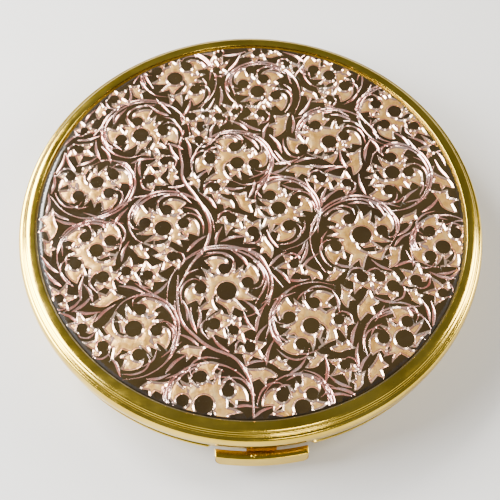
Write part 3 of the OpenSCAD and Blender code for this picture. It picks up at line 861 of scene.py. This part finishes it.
def relief_mesh(design):
    """Vertices, triangles and each triangle's material number for the cut panel."""
    half = int(37.6 / STEP) + 1
    line = np.arange(-half, half + 1) * STEP
    gx, gy = np.meshgrid(line, line)
    leaf, stroke = (f.reshape(gx.shape) for f in evaluate(design, gx.ravel(), gy.ravel()))
    either = np.maximum(np.minimum(leaf, stroke), np.hypot(gx, gy) - CUT_R)
    points, pairs, used = [], [], []

    def take(p, e, kept):
        pairs.append(e + sum(len(q) for q in points))
        points.append(p)
        used.append(kept)

    for field, level in ((either, 0.0), (leaf, -BEVEL_W), (leaf, -FOOT_W)):
        p, e = level_line(field, level, gx, gy)
        e = e[(np.hypot(*p.T) < CUT_R + 0.05)[e].all(1)]
        take(p, e, np.isin(np.arange(len(p)), e))
    for c, _ in design.strokes:          # the bottom of each stroke
        inside = np.hypot(*c.T) < CUT_R - 0.1
        k = np.nonzero(inside[:-1] & inside[1:])[0]
        take(c, np.stack([k, k + 1], 1), inside)
    k = np.arange(RING_STEPS)
    for r in (CUT_R + 0.05, CUT_R + 0.15, ROLL_END):
        a = k * 2 * math.pi / RING_STEPS
        take(np.stack([r * np.cos(a), r * np.sin(a)], 1), np.stack([k, (k + 1) % RING_STEPS], 1), k >= 0)
    # points between: close together in the leaves and at the rolled edge, sparse in the ground
    extra = []
    for gap, test in ((0.42, lambda d, r: (d < -FOOT_W - 0.08) & (r < CUT_R - 0.1)),
                      (1.3, lambda d, r: (d > 0.4) & (r < EDGE_ZONE_R)),
                      (0.3, lambda d, r: (d > 0.08) & (r >= EDGE_ZONE_R) & (r < CUT_R - 0.1))):
        k = int(38 / gap)
        i, j = np.meshgrid(np.arange(-k, k + 1), np.arange(-k, k + 1))
        p = np.stack([(i + 0.5 * (j % 2)) * gap, j * gap * 0.866], -1).reshape(-1, 2)
        p += rng.uniform(-0.12, 0.12, p.shape) * gap
        ix = np.clip(((p / STEP) + half).round().astype(int), 0, 2 * half)
        extra.append(p[test(either[ix[:, 1], ix[:, 0]], np.hypot(*p.T))])
    used, pairs = np.concatenate(used), np.vstack(pairs)
    new = np.cumsum(used) - 1
    flat = np.vstack([np.vstack(points)[used], *extra])
    edges = new[pairs[used[pairs].all(1)]].tolist()
    out = delaunay_2d_cdt([Vector(p) for p in flat], edges, [], 0, MERGE)
    co, tris = np.array([v[:] for v in out[0]]), np.array(out[2])
    x, y = co.T
    leaf, stroke = evaluate(design, x, y)
    r = np.hypot(x, y)
    d = np.where(r > CUT_R, 0, np.clip(-np.minimum(leaf, stroke), 0, None))
    floor = DEPTH + 0.035 * wander(x, y, 1.1, 3) + 0.02 * wander(x, y, 0.5, 5)
    floor -= 0.12 * np.clip((d - FOOT_W) / 0.8, 0, 1)
    down = np.where(stroke < leaf, d * 0.95, np.minimum(d * (DEPTH / BEVEL_W), floor))
    z = panel_surface(r) - down * np.clip((37.4 - r) / 0.6, 0.35, 1)
    z += np.where(d > 0, 0, 0.004 * wander(x, y, 5.0, 9))
    mid = co[tris].mean(1)
    leaf, stroke = evaluate(design, *mid.T)
    r = np.hypot(*mid.T)
    # kind 5, the rolled edge under the frame, gets the darker painted-shade lacquer
    kind = np.select([r > CUT_R, (stroke < 0) & (stroke < leaf), leaf < -FOOT_W, leaf < -BEVEL_W, leaf < 0,
                      r > DULL_SHADED_R], [5, 4, 3, 2, 1, 5], 0)
    a, b, c = (co[tris[:, i]].T for i in range(3))
    turn = (b[0] - a[0]) * (c[1] - a[1]) - (b[1] - a[1]) * (c[0] - a[0])
    tris[turn < 0] = tris[turn < 0][:, ::-1]
    return np.column_stack([co, z]), tris, kind


ANGLE = math.radians(-3.4)           # the panel sits a little turned in its frame
relief_co, relief_tris, relief_kind = relief_mesh(engraving())
x, y, z = relief_co.T
turned = np.stack([x * math.cos(ANGLE) - y * math.sin(ANGLE), x * math.sin(ANGLE) + y * math.cos(ANGLE), z], 1)
paints = [ground_paint, bevel_paint, foot_paint, floor_paint, line_paint, shade_edge_paint]
around = (np.arctan2(*turned[relief_tris].mean(1)[:, 1::-1].T) / (2 * math.pi)) % 1
shares = math.ceil(len(relief_tris) / 150000)
for k in range(shares):
    mine = np.floor(around * shares).astype(int) == k
    ids, back = np.unique(relief_tris[mine], return_inverse=True)
    piece(f"panel_relief_{k + 1}", (turned[ids], back.reshape(-1, 3).tolist()), paints, "lid",
          None if k else "engraved_panel", 12, relief_kind[mine])
under = ended([(ROLL_END, LIP_Z), (39.5, LIP_Z), (39.5, LIP_Z - 0.5), (OPENING_R - 0.7, LIP_Z - 0.5)], 0.4)
under += ended([(ROLL_START, PANEL_TOP - 0.5), (0, PANEL_TOP - 0.5)], 2)
piece("panel_back", lathe(under, 240), inner_gold, "lid")


# --- inside the lid

finish_node("backing_card", board_paint, 0.05)
CARD_Z, GLASS_Z, GLASS_R = 10.9, 9.5, 37.0
glass = (
    ended([(0, GLASS_Z), (GLASS_R - 0.5, GLASS_Z)], 2)
    + [(GLASS_R - 0.3, GLASS_Z + 0.04), (GLASS_R - 0.05, GLASS_Z + 0.22), (GLASS_R, GLASS_Z + 0.35)]
    + [(GLASS_R, CARD_Z - 0.15), (GLASS_R - 0.15, CARD_Z), (0, CARD_Z)]
)
piece("mirror_disc", lathe(glass), mirror_paint, "lid", "mirror")
frame_profile = (
    [(37.1, CARD_Z), (39.55, CARD_Z), (39.55, 9.8), (38.7, 9.8), (38.7, 9.3)]
    + arc(38.5, 9.3, 0.2, 0, -90, 6)
    + [(37.6, 9.1), (37.3, 9.16), (37.15, 9.1)]
    + arc(36.3, 9.2, 0.1, 270, 90, 6)
    + [(36.3, 9.42), (37.1, 9.45), (37.1, CARD_Z)]
)
piece("mirror_ring", lathe(frame_profile, 480), inner_gold, "lid", "mirror_frame")
finish_node("lid_keeper", inner_gold, 0.05)

# --- the hinge at the back

HINGE_Y, HINGE_Z, BARREL_R = 41.1, 8.4, 1.1


def knuckle(x0, x1, y, z, outer, bore, n=40):
    """A rolled knuckle: a bored barrel with rounded ends, drawn in at the two ends of the hinge."""
    soft = 0.12
    end = [(x0 + soft * (1 - math.cos(t)), outer - soft * (1 - math.sin(t)))
           for t in np.linspace(0, math.pi / 2, 5)]
    middle = [(x, outer) for x in np.linspace(x0 + 0.4, x1 - 0.4, 8)]
    ring = end + [(x1 - (x - x0), r) for x, r in reversed(end + middle)]
    ring = [(x, max(bore + 0.1, r - 0.45 * max(0, (abs(x) - 5.5) / 2.95) ** 1.5)) for x, r in ring]
    ring += [(x1, bore + 0.05), (x1 - 0.05, bore), (x0 + 0.05, bore), (x0, bore + 0.05), ring[0]]
    verts = []
    for x, r in ring:
        for a in (2 * math.pi * k / n for k in range(n)):
            verts.append((x, y + r * math.cos(a), z + r * math.sin(a)))
    return verts, bands(len(ring), n)


def strap(z0, z1):
    """A hinge leaf bent round the case's wall, with rounded corners and softened edges."""
    n, m, thick, corner, soft = 48, 10, 0.45, 0.9, 0.08
    verts = []
    for layer, r in enumerate((39.97, 39.97 + thick - soft, 39.97 + thick)):
        top = layer == 2
        for v in (j / m for j in range(m + 1)):
            z = z0 + (z1 - z0) * v
            edge = min(v, 1 - v) * (z1 - z0)
            drawn = corner - math.sqrt(max(corner**2 - (corner - edge) ** 2, 0)) if edge < corner else 0
            w = 8.6 - min(drawn, corner) * 0.6 - (soft if top else 0)
            zz = min(max(z, z0 + soft), z1 - soft) if top else z
            for x in (-w + 2 * w * i / n for i in range(n + 1)):
                verts.append((x, r * math.cos(math.asin(x / r)), zz))
    return verts, slab(3, m + 1, n + 1)


def strap_tab(x0, x1, z0, z1):
    """The curl between a leaf and its knuckle."""
    n = 6
    rise = [(40.42 + 0.02 * i, z0 + (z1 - z0) * i / n) for i in range(n + 1)]
    fall = [(39.99, z1 - (z1 - z0) * i / n) for i in range(n + 1)]
    verts = [(x, y, z) for x in (x0 + 0.06, x1 - 0.06) for y, z in rise + fall]
    return verts, bands(2, 2 * (n + 1), (1, 2, 3, 0), 1)


def hinge_half(name, node, body, first, bore, z0, z1, tab):
    shapes = [strap(z0, z1)]
    for x0 in ((i - 2) * 3.4 - 1.65 for i in range(first, 5, 2)):
        shapes.append(knuckle(x0, x0 + 3.3, HINGE_Y, HINGE_Z, BARREL_R, bore))
        shapes.append(strap_tab(x0, x0 + 3.3, *tab))
    piece(name, joined(*shapes), case_gold, body, node)


hinge_half("hinge_leaf_upper", "lid_hinge_leaf", "lid", 1, 0.55, 9.65, 11.0, (8.9, 9.9))
hinge_half("hinge_leaf_lower", "base_hinge_leaf", "base", 0, 0.5, 4.5, 7.15, (6.9, 7.9))
pin_end = [(0.0, 8.6), (0.3, 8.6), (0.46, 8.45), (0.5, 8.25)]
pin_v, pin_f = lathe([(r, -x) for r, x in pin_end] + pin_end[::-1], 32)
pin_v = [(z, HINGE_Y + x, HINGE_Z + y) for x, y, z in pin_v]
piece("hinge_pin", (pin_v, pin_f), steel_paint, frame["nodes"]["lid_hinge_pin"]["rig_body"],
      "lid_hinge_pin")

# --- tray, sifter and inner lid

tray_profile = (
    ended([(0, 0.62), (31.4, 0.62)], 1.5)
    + arc(31.4, 1.2, 0.58, -90, 0, 6)
    + ended([(WELL_OUTER_R, 1.2), (WELL_OUTER_R, 7.0), (39.4, 7.0)], 0.6)
    + [(39.4, 9.4)] + arc(39.27, 9.38, 0.12, 0, 90, 4) + arc(39.07, 9.38, 0.12, 90, 180, 4)
    + [(38.95, 7.7)] + arc(38.65, 7.7, 0.3, 0, -90, 5)
    + ended([(38.65, DECK_Z), (36.9, DECK_Z)], 0.4)
    + arc(36.6, DECK_Z, 0.22, 20, 160, 6)
    + ended([(36.3, DECK_Z), (31.85, DECK_Z)], 0.4)
    + arc(31.85, DECK_Z - 0.25, 0.25, 90, 180, 5)
    + ended([(WELL_R, 7.1), (WELL_R, 1.6)], 0.6)
    + arc(31.0, 1.6, 0.6, 0, -90, 5)
    + ended([(31.0, 1.0), (0, 1.0)], 1.5)
)


def flat_back(a, r, z):
    """The deck's raised line stops at the inner hinge and at the slot."""
    x, y = r * math.cos(a), r * math.sin(a)
    if 36.3 < r < 36.95 and abs(x) < 7 and z > DECK_Z:
        return r, DECK_Z
    return r, z


tray = piece("powder_pan", lathe(tray_profile, 480, flat_back), inner_gold, "base", "powder_tray")
carve(tray, (-3.2, -38.95, 6.9), (3.2, -35.6, 7.5))

SIFTER_Z = 3.2
sifter_profile = (
    [(31.5, SIFTER_Z - 0.6), (31.5, 4.45)] + arc(31.25, 4.35, 0.25, 0, 180, 8)
    + [(31.0, 3.75)] + arc(30.85, 3.75, 0.15, 0, -90, 4)
    + [(30.1, 3.6)] + arc(30.1, 3.5, 0.1, 90, 180, 4)
    + [(30.0, 3.2), (31.0, 3.2), (31.0, 2.6), (31.5, 2.6)]
)
piece("sifter_hoop", lathe(sifter_profile), inner_gold, "base", "sifter_ring")

threads = []
for k in range(-36, 37):
    at = k * 0.82
    reach = math.sqrt(30.8**2 - at**2)
    for turned_by, lift in ((0, 1), (1, -1)):
        t = np.linspace(-reach, reach, max(24, int(reach * 3.2)))
        wave = SIFTER_Z - 0.05 + 0.022 * lift * np.cos(t * math.pi / 0.82 + k * math.pi)
        row = np.stack([t, np.full(len(t), at), wave] if not turned_by else [np.full(len(t), at), t, wave], 1)
        threads.append(tube(row, 0.026, 4))
piece("sifter_net_threads", joined(*threads), net_paint, "base", "sifter_gauze")

PLATE_TOP = 8.45


def pressed(r):
    """Rings pressed into the inner lid: a step near its edge and fine rings round the middle."""
    z = -0.05 * math.exp(-((r - 30.6) / 0.35) ** 2) - 0.045 * math.exp(-((r - 28.9) / 0.3) ** 2)
    if 6 < r < 26:
        z -= 0.014 * (1 - math.cos((r - 6) * math.pi)) / 2
    return z


top = [(r, PLATE_TOP + pressed(r)) for r in np.linspace(0, 32.7, 200)]
inner_profile = (
    [(0, 8.15)] + ended([(0, 8.15), (32.5, 8.15), (32.5, 7.43)], 2)[1:]
    + [(32.62, 7.43), (32.9, 7.43), (33.0, 7.53)]
    + [(33.0, 8.2)] + arc(32.75, 8.2, 0.25, 0, 90, 6) + top[::-1][1:]
)
door = piece("powder_door", lathe(inner_profile, 400), inner_gold, "inner_lid", "inner_lid")
carve(door, (-6.1, 31.0, 7.4), (6.1, 34.0, 8.16))
for name in ("inner_lid_tab", "inner_lid_leaf", "inner_hinge_brackets"):
    finish_node(name, inner_gold, 0.04)
finish_node("inner_hinge_pin", steel_paint, 0.04)

coil = [(-1.66 + 0.26 * t, 34 + 0.46 * math.cos(2 * math.pi * t), 8.2 + 0.46 * math.sin(2 * math.pi * t))
        for t in np.linspace(0, 12.8, 12 * 24)]
piece("door_spring_coil", tube(coil, 0.1, 8), steel_paint, frame["nodes"]["inner_lid_spring"]["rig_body"],
      "inner_lid_spring")

# --- the puff

PUFF_R, PUFF_Z, PUFF_T = 29.4, 3.35, 3.2


def cushion():
    """A puff as a closed pad, blown up a little by the cloth solver so that it is soft and uneven."""
    outline_ = [(0, PUFF_Z + 0.2)] + ended([(0.5, PUFF_Z + 0.2), (PUFF_R - 1.3, PUFF_Z + 0.2)], 1.0)
    outline_ += arc(PUFF_R - 1.3, PUFF_Z + 1.3, 1.1, -90, 90, 8)
    outline_ += ended([(PUFF_R - 1.3, PUFF_Z + 2.4), (0.5, PUFF_Z + 2.4)], 1.0) + [(0, PUFF_Z + 2.4)]
    obj = piece("puff_body", lathe(outline_, 120), velour_paint, "base", sharp=80)
    co = np.array([v.co for v in obj.data.vertices])
    cloth = obj.modifiers.new("cloth", "CLOTH")
    s = cloth.settings
    s.quality, s.mass, s.tension_stiffness, s.compression_stiffness = 6, 0.02, 4, 4
    s.shear_stiffness, s.bending_stiffness = 1, 0.2
    s.use_pressure, s.uniform_pressure_force = True, 4
    s.effector_weights.gravity = 0
    cloth.collision_settings.use_collision = False
    scene = bpy.context.scene
    for f in range(1, 21):
        scene.frame_set(f)
    push = np.array([v.co for v in applied(obj).vertices]) - co
    scene.frame_set(1)
    size = np.linalg.norm(push, axis=1, keepdims=True)
    co = co + push * np.minimum(1, 0.0005 / np.maximum(size, 1e-9))
    x, y, z = (co / MM).T
    plump = 0.10 * wander(x, y, 9.0, 21) + 0.06 * wander(x, y, 2.6, 22)
    inward = np.clip((PUFF_R - np.hypot(x, y)) / 4, 0, 1)
    z = np.where(z > PUFF_Z + 1.6, z + plump + 0.35 * inward, z)
    z = np.clip(z, PUFF_Z + 0.03, PUFF_Z + PUFF_T)
    r = np.hypot(x, y)
    keep = np.minimum(1, PUFF_R / np.maximum(r, 1e-6))
    co = np.stack([x * keep, y * keep, z], 1) * MM
    obj.data.vertices.foreach_set("co", co.astype(np.float32).ravel())
    obj.data.update()
    fine = obj.modifiers.new("fine", "SUBSURF")
    fine.levels = fine.render_levels = 1
    obj.data = applied(obj)
    return obj


pad = cushion()
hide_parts("puff_pad")

COVER_R = 26.0


def cover_height(x, y):
    """Top of the satin cover: gathered folds that fade out towards the middle."""
    r, a = math.hypot(x, y), math.atan2(y, x)
    fold = 0.07 * math.sin(34 * a + 2 * math.sin(5 * a)) * min(1, (r / COVER_R) ** 2)
    fold += 0.05 * math.sin(13 * a + 1) * (r / COVER_R)
    return 6.68 + fold + 0.06 * math.cos(r * math.pi / COVER_R)


cover_v, cover_f = lathe([(r, 0) for r in np.linspace(0, COVER_R, 46)], 300)
under_v, under_f = lathe([(r, 0) for r in np.linspace(COVER_R, 0, 12)], 300)
cover_v = [(x, y, min(max(cover_height(x, y), 6.6), 6.85)) for x, y, z in cover_v]
under_v = [(x, y, 6.555) for x, y, z in under_v]
cover = joined((cover_v, [f[::-1] for f in cover_f]), (under_v, under_f))
piece("puff_satin_cover", cover, cover_paint, "base", "puff_cover", 80)

RIBBON_L, RIBBON_W = 44.0, 10.0


def ribbon():
    """A satin ribbon laid flat across the puff, with a woven edge and a slight ripple."""
    n, m = 150, 26
    verts = []
    for under in (False, True):
        for v in (j / m for j in range(m + 1)):
            edge = 0.05 if min(v, 1 - v) < 0.07 else 0.0
            rib = 0.008 * math.sin(v * 60) if not edge else 0
            for u in (i / n for i in range(n + 1)):
                x = RIBBON_L * (u - 0.5)
                y = RIBBON_W * (v - 0.5) * (1 - 0.01 * (1 - math.cos(4 * math.pi * u)))
                wave = 0.04 * math.sin(x * 0.55 + 0.4) * math.cos(y * 0.2)
                verts.append((x, y, 6.955 + wave + (-0.05 if under else 0.05 + edge + rib)))
    return verts, slab(2, m + 1, n + 1)


band = piece("puff_band", ribbon(), ribbon_paint, "base", sharp=60)
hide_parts("puff_ribbon")

# --- the catch

BAR_Z, BAR_H, BAR_HALF = 3.5, 3.2, 7.6
BAR_BACK_R = 40.85
CORNER = 2.0                         # radius of the bar's lower corners, seen from the front
SOFT = 0.18                          # rounding of the bar's ends


def bar():
    """The push bar: curved with the case, its face sloping out downwards, its lower corners round."""
    section = [(BAR_BACK_R, BAR_Z), (BAR_BACK_R, BAR_Z + BAR_H), (41.3, BAR_Z + BAR_H)]
    section += arc(42.03, BAR_Z + BAR_H - 0.2, 0.2, 90, 12, 6)
    section += ended([(42.24, 6.3), (42.47, 4.1)], 0.35)[1:] + arc(42.05, BAR_Z + 0.45, 0.45, 8, -90, 8)
    half = [0, 1.2, 2.4, 3.6, 4.8, 5.6, 6.2, 6.6, 6.85, 7.05, 7.2, 7.32, 7.42, 7.5, 7.55, 7.58, 7.6]
    stations = [-x for x in half[:0:-1]] + half
    verts = []
    for x in stations:
        past = max(0.0, abs(x) - (BAR_HALF - CORNER)) / CORNER
        low = BAR_Z + CORNER * (1 - math.sqrt(max(0.0, 1 - past * past)))
        end = max(0.0, (abs(x) - (BAR_HALF - SOFT)) / SOFT)
        draw = SOFT * (1 - math.sqrt(max(0.0, 1 - end * end)))
        for r, z in section:
            r2 = min(max(r, BAR_BACK_R + draw), 42.5 - draw) if r < 41.2 else r - draw
            verts.append((x, -math.sqrt(r2 * r2 - x * x), min(max(z, low + draw * 0.5), BAR_Z + BAR_H - draw)))
    return verts, bands(len(stations), len(section), (3, 2, 1, 0), 1)


piece("catch_push_bar", bar(), case_gold, "catch", "catch_bar")
finish_node("catch_hook", inner_gold, 0.06)
rivet_profile = [(0, 4.4), (0.3, 4.4), (0.3, 6.66), (0.42, 6.68)]
rivet_profile += arc(0, 6.68, 0.42, 8, 90, 6, 0.14)[:-1] + [(0, 6.82)]
rivet_v, rivet_f = lathe(rivet_profile, 28)
rivet_v = [(x - 1.4, y - 41.5, z) for x, y, z in rivet_v]
piece("catch_rivet_head", (rivet_v, rivet_f), case_gold, "catch", "catch_rivet")
finish_node("catch_spring", steel_paint, 0.03)

# --- floor, light and camera

plane = bpy.data.meshes.new("floor")
plane.from_pydata([(-1.5, -1.5, 0), (1.5, -1.5, 0), (1.5, 1.5, 0), (-1.5, 1.5, 0)], [], [(0, 1, 2, 3)])
floor = placed(bpy.data.objects.new("floor", plane))
p = Paint("pale_floor")
tone = p.mix(p.noise(0.02, 3), (0.58, 0.57, 0.55), (0.64, 0.63, 0.61))
plane.materials.append(p.set(colour=tone, rough=0.6, normal=p.bump(p.noise(0.8, 4), 0.05, 0.05)))

world = bpy.data.worlds.new("studio")
bpy.context.scene.world = world
world.use_nodes = True
world.node_tree.nodes["Background"].inputs[0].default_value = (0.80, 0.86, 0.92, 1)
world.node_tree.nodes["Background"].inputs[1].default_value = 0.22


for name, at, size, power, colour in (
    ("window", (-0.36, 0.02, 0.20), (0.26, 0.30), 8.0, (0.97, 0.98, 1.0)),
    ("far_left", (-0.27, 0.24, 0.30), (0.16, 0.16), 4.5, (1.0, 0.98, 0.94)),
    ("right", (0.38, 0.06, 0.20), (0.16, 0.24), 3.0, (1.0, 0.95, 0.86)),
    ("front", (0.10, -0.36, 0.30), (0.12, 0.08), 0.6, (1.0, 0.96, 0.90)),
):
    data = bpy.data.lights.new(name, "AREA")
    data.shape, data.size, data.size_y = "RECTANGLE", *size
    data.energy, data.color = power, colour
    box = placed(bpy.data.objects.new(name, data))
    box.location = at
    box.rotation_mode = "QUATERNION"
    box.rotation_quaternion = (Vector((0, 0, 0.01)) - Vector(at)).to_track_quat("-Z", "Y")

data = bpy.data.cameras.new("view")
data.lens, data.sensor_width, data.clip_start, data.clip_end = 72, 36, 0.01, 10
camera = placed(bpy.data.objects.new("view", data))
bpy.context.scene.camera = camera
AZ, EL, ROLL = (math.radians(v) for v in (-3.4, 61.88, 1.017))
turn_z = Matrix.Rotation(AZ, 3, "Z")
back = turn_z @ Vector((0, -math.cos(EL), math.sin(EL)))
side = turn_z @ Vector((1, 0, 0))
up = back.cross(side)
r_axis = side * math.cos(ROLL) + up * math.sin(ROLL)
u_axis = -side * math.sin(ROLL) + up * math.cos(ROLL)
camera.matrix_world = Matrix.Translation(
    (back * 175.62 - r_axis * 0.190 - u_axis * 6.286 + Vector((0, 0, TOP))) * MM) @ Matrix(
    (r_axis, u_axis, back)).transposed().to_4x4()
